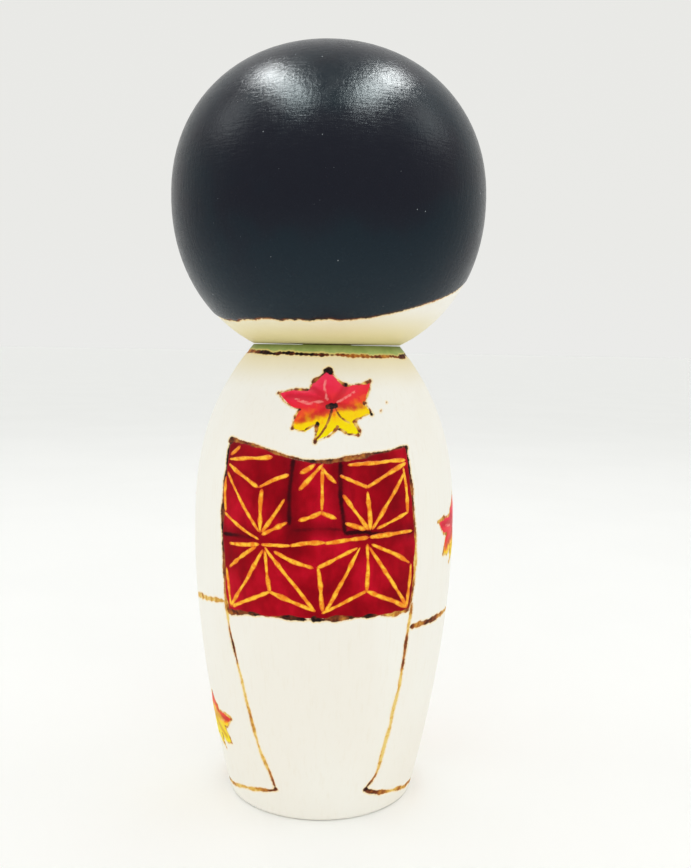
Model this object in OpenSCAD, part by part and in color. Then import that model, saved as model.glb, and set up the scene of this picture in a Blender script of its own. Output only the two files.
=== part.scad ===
// Kokeshi doll: a turned body, a turned head and the dowel that joins them.
// The doll stands on z = 0 with its turning axis on +Z and its front towards -Y. Millimetres.

/* [Body] */
// Height of the body, from the base to the seam under the head
body_h = 91.5; // [80:0.5:110]
// Diameter of the flat base
base_d = 38.4; // [32:0.2:44]
// Diameter at the widest ring of the body
belly_d = 53; // [46:0.5:58]
// Height of the widest ring above the base
belly_h = 52.5; // [35:0.5:65]
// Diameter where the body meets the head
neck_d = 29.8; // [24:0.2:36]
// How full the skirt is: 1 is a cone, higher is straighter under the belly
skirt_fullness = 1.7; // [1.2:0.1:3]
// How full the shoulder is: 1 is a cone, higher is rounder
shoulder_fullness = 2.8; // [1.6:0.1:4]
// Radius that breaks the rim of the base
rim_r = 0.8; // [0.3:0.1:1.5]

/* [Head] */
// Diameter of the head at its widest ring
head_d = 62.3; // [54:0.1:72]
// Height of the head's widest ring above the seam
cheek_h = 28.7; // [22:0.1:36]
// Height of the crown above the widest ring
crown_h = 29.6; // [22:0.1:38]
// Squareness of the head's outline: 2 is an ellipse
head_squareness = 2.12; // [2:0.02:2.5]

/* [Neck] */
// Diameter of the dowel
dowel_d = 10; // [6:0.5:14]
// Length of the dowel that is glued into the head
dowel_in_head = 16; // [10:1:22]
// Length of the dowel that turns in the body
dowel_in_body = 16; // [10:1:22]
// Chamfer on both ends of the dowel
dowel_chamfer = 0.8; // [0.3:0.1:1.5]
// Play around the dowel in the body, on the radius
turning_play = 0.05; // [0.01:0.01:0.1]
// Gap between the head and the top of the body
seam_gap = 0.2; // [0.1:0.05:0.4]
// Free space past each end of the dowel
end_gap = 1; // [0.5:0.5:3]
// Angle of the drill point at the bottom of both bores
drill_angle = 118; // [90:1:140]

/* [Quality] */
// Rings in each stretch of a turned outline
outline_steps = 24; // [12:1:48]
// Facets of a round
$fn = 96; // [24:8:180]

/* [Hidden] */

head_base = body_h + seam_gap;
cheek_z = head_base + cheek_h;

// Depth of the whole lower half, whose tip the seam cuts off at the neck's diameter
jaw_h = cheek_h / pow(1 - pow(neck_d / head_d, head_squareness), 1 / head_squareness);
seam_angle = asin(pow(cheek_h / jaw_h, head_squareness / 2));

// Radius of the body a share t of the way from the belly to the base, or from the belly to the neck
function skirt_radius(t) = (belly_d - (belly_d - base_d) * pow(t, skirt_fullness)) / 2;
function shoulder_radius(t) = (belly_d - (belly_d - neck_d) * pow(t, shoulder_fullness)) / 2;

// Outline of the head as a superellipse, with a as the angle above the widest ring
function round_power(value) = pow(max(value, 0), 2 / head_squareness);
function head_point(a) =
    [head_d / 2 * round_power(cos(a)), cheek_z + (a < 0 ? -jaw_h : crown_h) * round_power(abs(sin(a)))];

skirt = [for (i = [outline_steps : -1 : 0]) let (t = i / outline_steps)
    [skirt_radius(t), belly_h - (belly_h - rim_r) * t]];
shoulder = [for (i = [1 : outline_steps]) let (t = i / outline_steps)
    [shoulder_radius(t), belly_h + (body_h - belly_h) * t]];
rim = [for (a = [-90 : 22.5 : -22.5]) skirt[0] + rim_r * [cos(a) - 1, sin(a)]];
jaw = [for (i = [0 : outline_steps]) head_point(-seam_angle * (1 - i / outline_steps))];
crown = [for (i = [1 : outline_steps]) head_point(90 * i / outline_steps)];

// A blind bore along the axis, from z = 0 down to its drill point
module blind_bore(diameter, depth) {
    mouth = 1;
    tip = diameter / 2 / tan(drill_angle / 2);
    rotate_extrude()
        polygon([[0, mouth], [diameter / 2, mouth], [diameter / 2, -depth], [0, -depth - tip]]);
}

// Turned body with a flat base, bored at the top for the dowel
module body() {
    color("ivory")
        difference() {
            rotate_extrude()
                polygon(concat([[0, 0]], rim, skirt, shoulder, [[0, body_h]]));
            translate([0, 0, body_h])
                blind_bore(dowel_d + 2 * turning_play, dowel_in_body + end_gap - seam_gap);
        }
}

// Plain round dowel, glued into the head and free to turn in the body
module neck_dowel() {
    low = head_base - dowel_in_body;
    high = head_base + dowel_in_head;
    r = dowel_d / 2;
    c = dowel_chamfer;
    color("burlywood")
        rotate_extrude()
            polygon([[0, low], [r - c, low], [r, low + c], [r, high - c], [r - c, high], [0, high]]);
}

// Turned head with a flat underside, bored from below for the dowel
module head() {
    color("#20242c")
        difference() {
            rotate_extrude()
                polygon(concat([[0, head_base]], jaw, crown));
            translate([0, 0, head_base])
                mirror([0, 0, 1])
                    blind_bore(dowel_d, dowel_in_head + end_gap);
        }
}

body();
neck_dowel();
head();
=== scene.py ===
"""A turned and painted kokeshi doll: its body, its head that turns on a dowel, and their burnt and
painted decoration. Decoration is laid out in millimetres on each turned surface as (across, height):
across runs round the surface, and height is above the base. Blender's objects are in metres."""

import math

import bmesh
import bpy
import numpy as np
from mathutils import Matrix, Vector


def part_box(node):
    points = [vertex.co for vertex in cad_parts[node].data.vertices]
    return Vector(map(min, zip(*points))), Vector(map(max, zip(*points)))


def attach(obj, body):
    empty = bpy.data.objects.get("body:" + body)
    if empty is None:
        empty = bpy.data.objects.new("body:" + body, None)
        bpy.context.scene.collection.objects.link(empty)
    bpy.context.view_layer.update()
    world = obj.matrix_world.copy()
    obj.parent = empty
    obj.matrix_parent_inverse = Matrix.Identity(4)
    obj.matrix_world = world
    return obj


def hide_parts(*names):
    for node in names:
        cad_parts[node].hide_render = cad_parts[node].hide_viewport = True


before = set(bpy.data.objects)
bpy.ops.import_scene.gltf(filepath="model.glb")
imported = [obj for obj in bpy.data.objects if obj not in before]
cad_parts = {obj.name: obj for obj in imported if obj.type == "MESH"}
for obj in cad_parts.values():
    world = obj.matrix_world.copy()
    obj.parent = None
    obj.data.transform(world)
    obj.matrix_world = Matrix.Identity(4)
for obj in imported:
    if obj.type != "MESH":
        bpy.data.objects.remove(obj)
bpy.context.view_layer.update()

MM = 0.001
rng = np.random.default_rng(7)


# ---------------------------------------------------------------- turned surfaces

class Turned:
    """A turned wall. radius(height) is its outline, and ref is the radius at which one millimetre
    across is one millimetre of arc. start is the bearing of across = 0, in degrees from the doll's
    back towards its right hand. snap(points, lift) moves points in space onto the wall."""

    def __init__(self, radius, low, high, ref, start=0.0, snap=None):
        self.radius, self.low, self.high, self.ref = radius, low, high, ref
        self.start = math.radians(start)
        self.snap = snap or self.snap_level

    def angle(self, across):
        return self.start + np.asarray(across, float) / self.ref

    def flat(self, points):
        """(across, height) of points in space."""
        turn = np.arctan2(-points[:, 0], points[:, 1]) - self.start
        turn = (turn + math.pi) % (2 * math.pi) - math.pi
        return np.stack([turn * self.ref, points[:, 2]], -1)

    def turned_by(self, degrees):
        return Turned(self.radius, self.low, self.high, self.ref, math.degrees(self.start) + degrees,
                      self.snap)

    def snap_level(self, points, lift=0.0):
        return self.place(np.arctan2(-points[:, 0], points[:, 1]), points[:, 2], lift)

    def place(self, angle, height, lift=0.0):
        """Points at bearing angle and this height, lift millimetres proud of the wall."""
        height = np.clip(height, self.low, self.high)
        r = self.radius(height)
        slope = self.slope(height)
        out = 1.0 / np.sqrt(1.0 + slope * slope)
        r = r + lift * out
        return np.stack([-r * np.sin(angle), r * np.cos(angle), height - lift * slope * out], -1)

    def slope(self, height):
        step = 0.05
        high = np.minimum(height + step, self.high)
        low = np.maximum(height - step, self.low)
        return (self.radius(high) - self.radius(low)) / (high - low)

    def point(self, across, height, lift=0.0):
        return self.place(self.angle(across), np.asarray(height, float), lift)


_, BODY_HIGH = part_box("body")
HEAD_LOW, HEAD_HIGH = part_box("head")
BODY_H = BODY_HIGH[2] / MM
BELLY_R = BODY_HIGH[0] / MM
HEAD_R = HEAD_HIGH[0] / MM
SEAM_H = HEAD_LOW[2] / MM
CROWN_H = HEAD_HIGH[2] / MM

# The rest of the two outlines, as the part's own source has them
BASE_R, NECK_R, BELLY_H, RIM_R = 19.2, 14.9, 52.5, 0.8
SKIRT_FULLNESS, SHOULDER_FULLNESS = 1.7, 2.8
CHEEK_H, SQUARENESS = SEAM_H + 28.7, 2.12
DOWEL_R, DOWEL_REACH, TURNING_PLAY, END_GAP = 5.0, 16.0, 0.05, 1.0
CHAMFER, DRILL_POINT = 0.5, math.radians(59)
JAW_H = (CHEEK_H - SEAM_H) / (1 - (NECK_R / HEAD_R) ** SQUARENESS) ** (1 / SQUARENESS)

# How far the head's painting is turned from the body's, clockwise from above, as the doll stands
HEAD_TURN = 28.0


def body_radius(height):
    below = height < BELLY_H
    t = np.abs(height - BELLY_H) / np.where(below, BELLY_H - RIM_R, BODY_H - BELLY_H)
    drop = np.where(below, BELLY_R - BASE_R, BELLY_R - NECK_R)
    return BELLY_R - drop * np.minimum(t, 1) ** np.where(below, SKIRT_FULLNESS, SHOULDER_FULLNESS)


def head_radius(height):
    t = np.abs(height - CHEEK_H) / np.where(height < CHEEK_H, JAW_H, CROWN_H - CHEEK_H)
    return HEAD_R * np.maximum(1 - t ** SQUARENESS, 0) ** (1 / SQUARENESS)


def head_snap(points, lift=0.0):
    """Points on the head's surface, in line with its middle, lift millimetres proud of it."""
    n = SQUARENESS
    rho = np.hypot(points[:, 0], points[:, 1])
    up = points[:, 2] - CHEEK_H
    tall = np.where(up < 0, JAW_H, CROWN_H - CHEEK_H)
    scale = ((rho / HEAD_R) ** n + (np.abs(up) / tall) ** n) ** (-1 / n)
    flat = points[:, :2] * scale[:, None]
    rho, up = rho * scale, up * scale
    out = rho ** (n - 1) / HEAD_R ** n
    rise = np.sign(up) * np.abs(up) ** (n - 1) / tall ** n
    size = np.hypot(out, rise)
    grown = 1 + lift * out / size / np.maximum(rho, 1e-9)
    return np.stack([flat[:, 0] * grown, flat[:, 1] * grown, CHEEK_H + up + lift * rise / size], -1)


BACK = Turned(body_radius, RIM_R, BODY_H, BELLY_R)
FRONT = BACK.turned_by(180)
NAPE = Turned(head_radius, SEAM_H, CROWN_H, HEAD_R, -HEAD_TURN, head_snap)
FACE = NAPE.turned_by(180)


# ---------------------------------------------------------------- hand-drawn lines and areas

def smooth_noise(count, reach, generator=rng):
    """count numbers of mean 0 and deviation near 1 that drift over about reach steps."""
    pad = int(reach * 3) + 1
    raw = generator.normal(size=count + 2 * pad)
    kernel = np.exp(-0.5 * (np.arange(-pad, pad + 1) / max(reach, 0.3)) ** 2)
    kernel /= np.sqrt((kernel ** 2).sum())
    return np.convolve(raw, kernel, "valid")[:count]


def curve_through(points, step=0.4, closed=False):
    """A smooth curve through a few given points, sampled about every step millimetres."""
    p = np.asarray(points, float)
    if closed:
        p = np.vstack([p[-1:], p, p[:2]])
    elif len(p) == 2:
        count = max(int(np.hypot(*(p[1] - p[0])) / step), 2)
        return p[0] + (p[1] - p[0]) * np.linspace(0, 1, count + 1)[:, None]
    else:
        p = np.vstack([2 * p[0] - p[1], p, 2 * p[-1] - p[-2]])
    out = []
    for a, b, c, d in zip(p[:-3], p[1:-2], p[2:-1], p[3:]):
        count = max(int(np.hypot(*(c - b)) / step), 2)
        t = np.linspace(0, 1, count, endpoint=False)[:, None]
        out.append(0.5 * (2 * b + (c - a) * t + (2 * a - 5 * b + 4 * c - d) * t ** 2
                          + (3 * b - a - 3 * c + d) * t ** 3))
    if not closed:
        out.append(p[-2:-1])
    return np.vstack(out)


def spread(values, share):
    """One number, or several spaced evenly along a line, read at these shares of its length."""
    count = max(np.size(values), 2)
    return np.interp(share, np.linspace(0, 1, count), np.broadcast_to(values, count))


class Line:
    """One hand-drawn line on a surface: its path in space, its half width and its heat along it."""

    def __init__(self, surface, points, width, heat=0.7, wobble=0.1, beads=0.0, bead_pitch=1.5,
                 ragged=0.2, taper=0.8, step=0.4):
        flat = curve_through(points, step)
        count = len(flat)
        along = np.r_[0, np.cumsum(np.hypot(*np.diff(flat, axis=0).T))]
        share = along / along[-1]
        tangent = np.gradient(flat, axis=0)
        tangent /= np.maximum(np.hypot(*tangent.T), 1e-9)[:, None]
        flat = flat + wobble * smooth_noise(count, 4)[:, None] * tangent[:, ::-1] * [-1, 1]
        ends = np.minimum(along, along[-1] - along)
        shape = np.clip(ends / max(taper, 1e-3), 0, 1) ** 0.5
        swell = 1 + ragged * smooth_noise(count, 2) + beads * np.cos(2 * np.pi * along / bead_pitch)
        self.surface = surface
        self.half = 0.5 * spread(width, share) * (0.35 + 0.65 * shape) * np.maximum(swell, 0.1)
        self.heat = np.clip(spread(heat, share) + 0.14 * smooth_noise(count, 3)
                            + 0.5 * beads * np.cos(2 * np.pi * along / bead_pitch), 0, 1)
        self.path = surface.point(flat[:, 0], flat[:, 1])


def dot(surface, across, height, size, heat=1.0):
    """A single touch of the burning pen."""
    return Line(surface, [(across - 0.1, height), (across + 0.1, height)], size, heat, wobble=0.0,
                ragged=0.0, taper=0.01, step=0.1)


def within(points, shape, margin):
    """Which points are in a shape's box, grown by a margin."""
    return np.flatnonzero(((points > shape.min(0) - margin) & (points < shape.max(0) + margin)).all(1))


def nearest_line(lines, points, reach=2.5):
    """For every point: its distance outside the nearest line's edge, and that line's heat there."""
    best = np.full(len(points), reach)
    heat = np.zeros(len(points))
    for line in lines:
        near = within(points, line.path, reach)
        if not len(near):
            continue
        p = points[near]
        found = np.full(len(near), reach)
        found_heat = np.zeros(len(near))
        for i in range(len(line.path) - 1):
            a, b = line.path[i], line.path[i + 1]
            ab = b - a
            t = np.clip((p - a) @ ab / max(ab @ ab, 1e-12), 0, 1)
            d = np.linalg.norm(p - a - t[:, None] * ab, axis=1)
            d -= line.half[i] + (line.half[i + 1] - line.half[i]) * t
            closer = d < found
            found = np.where(closer, d, found)
            found_heat = np.where(closer, line.heat[i] + (line.heat[i + 1] - line.heat[i]) * t,
                                  found_heat)
        closer = found < best[near]
        best[near] = np.where(closer, found, best[near])
        heat[near] = np.where(closer, found_heat, heat[near])
    return best, heat


def inside_outline(flat, outline):
    """Signed distance in millimetres from points to a closed outline, less than 0 inside."""
    best = np.full(len(flat), 1e9)
    inside = np.zeros(len(flat), bool)
    for a, b in zip(outline, np.roll(outline, -1, axis=0)):
        ab = b - a
        t = np.clip((flat - a) @ ab / max(ab @ ab, 1e-12), 0, 1)
        best = np.minimum(best, np.hypot(*(flat - a - t[:, None] * ab).T))
        crosses = (a[1] > flat[:, 1]) != (b[1] > flat[:, 1])
        rise = b[1] - a[1] if abs(b[1] - a[1]) > 1e-12 else 1e-12
        inside ^= crosses & (flat[:, 0] < a[0] + (flat[:, 1] - a[1]) / rise * ab[0])
    return np.where(inside, -best, best)


# ---------------------------------------------------------------- the body's decoration

def sash_back_outline():
    top = [(-21.7, 74), (-14.3, 73), (-6.2, 71), (-1, 70.6), (6.2, 71.4), (10.6, 72.1), (17.5, 73.1)]
    right = [(17.5, 73.1), (17.6, 68.4), (18.2, 60.5), (18.6, 55.2), (18.6, 46), (17.7, 42.2)]
    bottom = [(17.7, 42.2), (12.3, 42.1), (2.6, 42), (-4.7, 41.9), (-12.3, 41.6), (-20.1, 41.3)]
    left = [(-20.1, 41.3), (-20.7, 45), (-21.2, 51.5), (-21.4, 59.5), (-21.5, 67.4), (-21.7, 74)]
    return top, right, bottom, left


def sash_front_outline():
    top = [(-21.5, 62.2), (-10, 61.6), (0, 61.2), (11, 61.5), (22, 62)]
    right = [(22, 62), (22.6, 53), (23.4, 44.4)]
    bottom = [(23.4, 44.4), (10, 43.6), (-2, 43.4), (-12, 43.8), (-23, 44.6)]
    left = [(-23, 44.6), (-22.2, 53), (-21.5, 62.2)]
    return top, right, bottom, left


def outline_of(sides):
    return np.vstack([curve_through(side)[:-1] for side in sides])


def sash_lines():
    lines = []
    top, right, bottom, left = sash_back_outline()
    lines.append(Line(BACK, top, 0.62, [0.95, 0.45, 0.5, 0.62, 0.5, 0.7, 0.6], ragged=0.35))
    lines.append(Line(BACK, right, 0.7, [1, 0.8, 0.45, 0.35, 0.2, 0.2], ragged=0.3))
    lines.append(Line(BACK, bottom, 0.8, [0.2, 0.3, 0.6, 0.45, 0.95, 0.8, 0.3, 0.6, 0.5], ragged=0.4,
                      beads=0.15, bead_pitch=3.1))
    lines.append(Line(BACK, left, 0.72, [0.35, 0.5, 0.75, 0.6, 0.95, 1], ragged=0.3))
    lines += [dot(BACK, -21.4, 73.4, 1.5), dot(BACK, 17.5, 72.8, 0.85), dot(BACK, -1.6, 41.9, 1.2, 0.9)]
    top, right, bottom, left = sash_front_outline()
    lines.append(Line(FRONT, top, 0.65, [0.9, 0.5, 0.7, 0.45, 0.9], ragged=0.35))
    lines.append(Line(FRONT, right, 0.7, [0.95, 0.4, 0.7], ragged=0.3))
    lines.append(Line(FRONT, bottom, 0.7, [0.6, 0.9, 0.4, 0.75, 0.5], ragged=0.4))
    lines.append(Line(FRONT, left, 0.7, [0.6, 0.45, 0.95], ragged=0.3))
    return lines


def sash_folds():
    """Burnt lines that the red paint was laid over: the knot's own edges."""
    return [
        Line(BACK, [(-6.2, 70.9), (-6.3, 65), (-6.3, 59.3)], 0.62, [0.7, 0.75, 0.8, 1]),
        Line(BACK, [(2.8, 70.6), (3, 64), (3.7, 57.8)], 0.66, [1, 0.75, 0.85, 1]),
        Line(BACK, [(-20.8, 56), (-17, 56.2), (-13, 56.4)], 0.5, [0.9, 0.5, 0.3]),
        Line(BACK, [(-5.8, 58.1), (-1, 58.4), (3.2, 58.3)], 0.4, [0.6, 0.35, 0.5]),
        Line(BACK, [(3.8, 57.7), (7, 57.9), (10, 57.5), (17.8, 57.2)], 0.5, [1, 0.9, 0.35, 0.5]),
    ]


def sleeve_and_skirt_lines():
    """Edges of the sleeves, the skirt's panels and the hems."""
    cool = [0.4, 0.1, 0.5, 0.35, -0.1, -0.1, 0.1, 0.05, 0.1, 0.15, 0.65, 0.7]
    return [
        Line(BACK, [(-20.8, 43), (-20.2, 38.5), (-18.9, 32.6), (-17.6, 27.3), (-16.1, 20),
                    (-14.6, 14.4), (-13, 10), (-11.6, 6.2)], 0.62, cool),
        Line(BACK, [(18.4, 43.4), (18, 38.8), (17.5, 30.5), (16.7, 24.1), (15.5, 15.6), (14.2, 9.3),
                    (11.9, 6.5)], 0.62, [0.25, 0.05, 0.5, 0.45, 0.1, -0.1, -0.1, -0.1, 0.05, 0.35, 0.75]),
        Line(BACK, [(-11.2, 6), (-19.6, 4.4), (-27.5, 2.8), (-38, 1.8), (-49.5, 1.7)], 0.8,
             [0.6, 0.5, 0.15, 0.1, 0.4, 0.55, 0.3, 0.4]),
        Line(BACK, [(11.7, 5.6), (16.6, 4.6), (22.5, 3.7), (28, 2.7), (38, 1.8), (49.5, 1.7)], 0.8,
             [0.7, 0.35, 0.3, 0.1, 0.3, 0.6, 0.35, 0.4]),
        Line(BACK, [(-37.4, 40.3), (-30, 41.8), (-21.4, 42.7)], 0.8, [-0.25, -0.15, -0.05, 0.1, 0.45],
             beads=0.22, bead_pitch=2.3),
        Line(BACK, [(18.7, 39), (24.9, 38.9), (37.3, 38.5)], 0.95, [0.62, 0.55, 0.48, 0.3, 0.15],
             beads=0.22, bead_pitch=2.3),
        Line(BACK, [(37.3, 38.5), (47, 38.9), (58.3, 40.6)], 0.9, [0.4, 0.7, 0.6],
             beads=0.2, bead_pitch=2.3),
        Line(BACK, [(-58.3, 40.6), (-48, 39.3), (-37.4, 40.3)], 0.9, [0.7, 0.35, 0.5],
             beads=0.2, bead_pitch=2.3),
        dot(BACK, 11.8, 6.1, 1.05, 0.72),
        dot(BACK, -11.5, 6.1, 0.9, 0.68),
        Line(FRONT, [(-25, 40.5), (-24.6, 50), (-22.5, 62), (-19.6, 72), (-18.6, 77)], 0.65,
             [0.75, 0.3, 0.7, 0.2, 0.6]),
        Line(FRONT, [(25, 40.5), (24.8, 50), (22.9, 62), (20, 72), (19, 77)], 0.65,
             [0.7, 0.35, 0.8, 0.2, 0.5]),
        Line(FRONT, [(-7.5, 43.2), (-8.4, 33), (-10.2, 20), (-12.2, 9.5), (-13.6, 4.6)], 0.65,
             [0.85, 0.2, 0.4, 0.12, 0.75]),
        Line(FRONT, [(-13.4, 4.6), (-5, 4.9), (8, 3.9), (22, 2.4), (34, 1.7)], 0.85,
             [0.85, 0.5, 0.3, 0.55, 0.3]),
        Line(FRONT, [(-34, 1.7), (-24, 2.6), (-13.6, 3.6)], 0.85, [0.4, 0.6, 0.7]),
    ]


# The ring round the neck, and the outer and inner edges of the collar's two crossed sides
NECK_RING = [(-68.7, 90.4), (-45, 90.2), (-20, 89.9), (0, 89.7), (20, 89.5), (45, 89.9), (68.7, 90.4)]
OVER_OUTER = [(14.5, 90.4), (9.5, 82), (2.5, 72.5), (-6.5, 62)]
OVER_INNER = [(9.5, 90.8), (5.5, 83.5), (-0.8, 74), (-10.7, 62)]
UNDER_OUTER = [(-14.5, 90.4), (-10, 82.8), (-6.3, 76), (-3.3, 71.3)]
UNDER_INNER = [(-9.5, 90.8), (-6.2, 84), (-2.6, 79), (0.2, 75.9)]


def neckline_lines():
    """The collar: a band round the neck that crosses, left side over right, above the sash."""
    heat = [0.7, 0.6, 0.4, 0.45, 0.6, 1.0, 0.95, 0.45, 0.5, 0.65, 0.75, 0.4, 0.5, 0.7]
    return [
        Line(BACK, NECK_RING, 0.82, heat, beads=0.18, bead_pitch=1.6, ragged=0.25),
        Line(FRONT, OVER_OUTER, 0.62, [0.7, 0.2, 0.5, 0.9]),
        Line(FRONT, OVER_INNER, 0.62, [0.8, 0.35, 0.2, 0.8]),
        Line(FRONT, UNDER_OUTER, 0.62, [0.6, 0.2, 0.8]),
        Line(FRONT, UNDER_INNER, 0.62, [0.8, 0.25, 0.7]),
        Line(FRONT, [(-5.4, 91), (-2.6, 85.6), (0.3, 81.4), (2.9, 85.4), (5.6, 91)], 0.5,
             [0.5, 0.25, 0.9, 0.3, 0.6]),
    ]


def collar_outlines():
    """The green of the collar's two crossed sides, each up to the seam under the head."""
    over = OVER_OUTER + OVER_INNER[:0:-1] + [(9.5, 91.6), (14.5, 91.6)]
    under = UNDER_OUTER + UNDER_INNER[:0:-1] + [(-9.5, 91.6), (-14.5, 91.6)]
    return np.array(over, float), np.array(under, float)


# The outline of a maple leaf round its middle, in millimetres, through its tips and notches in turn
LEAF = np.array([(-0.7, 6.5), (-3.6, 4), (-4.3, 2.8), (-7.2, 2.7), (-10.2, 2), (-7.7, -0.4),
                 (-6.1, -0.8), (-7.1, -2.7), (-7.4, -4.3), (-5, -4.8), (-2.8, -3.3), (-3, -4.9),
                 (-3.2, -6.5), (-1.1, -5.5), (0.95, -3.9), (2.7, -5), (4.7, -5.2), (5.2, -4.7),
                 (4, -2.8), (5.4, -2.1), (7.4, -1.5), (6.6, -0.2), (6.2, 0.5), (7.3, 3.2),
                 (7.4, 4.5), (4.7, 3.8), (2.6, 3.6), (0.9, 4.8)])
LEAF_TIPS = (0, 4, 8, 12, 16, 20, 24)
LEAF_NOTCHES = (6, 10, 14, 18, 22, 26)
LEAF_HEIGHT = 13


class Leaf:
    """A maple leaf at (across, height), its size against the first one and its turn in degrees."""

    def __init__(self, surface, across, height, size=1.0, turn=0.0, tone=0.0, mirror=1, char=1.0):
        self.surface, self.size, self.tone, self.height = surface, size, tone, height
        self.turn, self.mirror, self.char = math.radians(turn), mirror, char
        self.across = across
        self.outline = self.at(LEAF)

    def at(self, local):
        local = np.atleast_2d(np.asarray(local, float)) * self.size * [self.mirror, 1]
        c, s = math.cos(self.turn), math.sin(self.turn)
        x = local[:, 0] * c - local[:, 1] * s
        y = local[:, 0] * s + local[:, 1] * c
        stretch = self.surface.ref / self.surface.radius(self.height + y)
        return np.stack([self.across + x * stretch, self.height + y], -1)

    def lines(self):
        """Its outline in broken touches, hottest at the tips and notches, its veins and its stem."""
        lines = []
        count = len(LEAF)
        for i in range(count):
            a, b = self.outline[i], self.outline[(i + 1) % count]
            hot = 0.75 if i in LEAF_TIPS or (i + 1) % count in LEAF_TIPS else 0.55
            heat = np.clip([hot, 0.5, 0.25, 0.2, 0.4, hot - 0.1] + rng.normal(0, 0.12, 6), 0, 1)
            heat = heat * self.char
            width = 0.4 * self.size * (1 + 0.2 * rng.normal())
            lines.append(Line(self.surface, [a, (a + b) / 2 + rng.normal(0, 0.08, 2), b], width, heat,
                              ragged=0.3, taper=0.3, step=0.3))
        for i in LEAF_TIPS:
            tip = self.outline[i]
            lines.append(dot(self.surface, tip[0], tip[1], (0.55 + 0.25 * rng.random()) * self.size,
                             0.72 * self.char))
        for i in LEAF_NOTCHES:
            notch = self.outline[i] + rng.normal(0, 0.08, 2)
            lines.append(dot(self.surface, notch[0], notch[1], (0.6 + 0.4 * rng.random()) * self.size,
                             (0.6 + 0.35 * rng.random()) * self.char))
        stem = self.at([(0.1, -0.2), (-0.2, -1.6), (-0.8, -3.1), (-1.7, -4.6), (-3, -6.1)])
        vein = self.at([(0.5, -0.4), (1.2, -1.7), (2.2, -2.5), (3.2, -3.1)])
        lines.append(Line(self.surface, stem, np.array([0.6, 0.45, 0.42, 0.42, 0.5]) * self.size,
                          np.array([1, 0.72, 0.7, 0.62, 0.6]) * self.char, ragged=0.1))
        lines.append(Line(self.surface, vein, 0.4 * self.size, np.array([0.9, 0.5, 0.3]) * self.char,
                          ragged=0.1))
        return lines

    def veins(self):
        """Pale scratched veins in its three highest lobes."""
        drawn = ([(-0.8, 1.1), (-1.3, 2.6), (-1.2, 4.6)], [(0.9, 0.8), (2.6, 1.7), (4.4, 2.8)],
                 [(-1.6, 0.7), (-4, 0.6), (-6.8, 1.1)])
        return self.thin_lines(drawn, [0.36, 0.3, 0.15])

    def creases(self):
        """Hollows between its lobes, cut into the wood and darkened with painted shade."""
        drawn = ([(-0.8, 0.3), (-3.2, 1.1), (-8.4, 1.5)], [(-0.7, -0.3), (-2.6, -1.5), (-5.8, -3.1)],
                 [(0.7, 0), (3, -0.3), (5.8, 0)], [(0.7, 0.6), (1.6, 2), (2.5, 3.4)],
                 [(-0.6, 0.8), (-2.2, 2), (-4, 2.9)])
        return self.thin_lines(drawn, [0.5, 0.3, 0.15])

    def thin_lines(self, drawn, widths):
        return [Line(self.surface, self.at(points), np.array(widths) * self.size, 0.0, step=0.3)
                for points in drawn]


LEAVES = [
    Leaf(BACK, 1.4, 80.5),
    Leaf(BACK, 36.5, 55.5, 1.05, -2, 0.03, 1, 0.4),
    Leaf(BACK, -33, 15.8, 0.86, 6, -0.36, -1, 0.4),
    Leaf(BACK, -45.5, 60, 0.95, 20, 0.06),
    Leaf(BACK, 58.5, 18, 1.0, -16, -0.03, -1),
    Leaf(FRONT, 8.5, 25, 1.2, -10, 0.0, -1),
    Leaf(FRONT, -15.5, 33, 0.62, 24, 0.05),
]


def leaf_touches():
    """The first leaf's own touches: blots at its top and middle, and two beside it."""
    return [dot(BACK, 0.6, 86.9, 1.5), dot(BACK, 1.1, 86.5, 1.1), dot(BACK, -0.2, 86.8, 1.0),
            dot(BACK, 1.3, 80.4, 1.35), dot(BACK, 0.5, 80.3, 1.0), dot(BACK, 2.1, 80.5, 1.0),
            Line(BACK, [(12.3, 79.3), (12.7, 79.7)], 0.35, 0.5), dot(BACK, 14.5, 81, 0.3, 0.4)]


BURNT = sash_lines() + sleeve_and_skirt_lines() + neckline_lines() + leaf_touches()
for leaf in LEAVES:
    BURNT += leaf.lines()
FOLDS = sash_folds()
VEINS = [vein for leaf in LEAVES for vein in leaf.veins()]
CREASES = [crease for leaf in LEAVES for crease in leaf.creases()]
SASHES = [(BACK, outline_of(sash_back_outline())), (FRONT, outline_of(sash_front_outline()))]
COLLARS = [(FRONT, outline) for outline in collar_outlines()]
COLLAR_RING = curve_through([(-83.3, 90.5), *NECK_RING, (83.3, 90.5)])


# Distances to areas go up to this many millimetres; the throat is open this far each side
FAR, THROAT = 5.0, 12


def nearest_area(areas, points):
    """Distance outside the nearest of these (surface, outline) areas, less than 0 inside."""
    found = np.full(len(points), FAR)
    for surface, outline in areas:
        flat = surface.flat(points)
        near = within(flat, outline, FAR)
        if len(near):
            found[near] = np.minimum(found[near], inside_outline(flat[near], outline))
    return found


def collar_distance(points):
    """Distance below the collar's ring, which is open at the throat, or outside its crossed sides."""
    back = BACK.flat(points)
    front = FRONT.flat(points)
    ring = np.interp(back[:, 0], COLLAR_RING[:, 0], COLLAR_RING[:, 1]) - back[:, 1]
    ring = np.where(np.abs(front[:, 0]) < THROAT, FAR, ring)
    return np.clip(np.minimum(ring, nearest_area(COLLARS, points)), -FAR, FAR)


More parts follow.
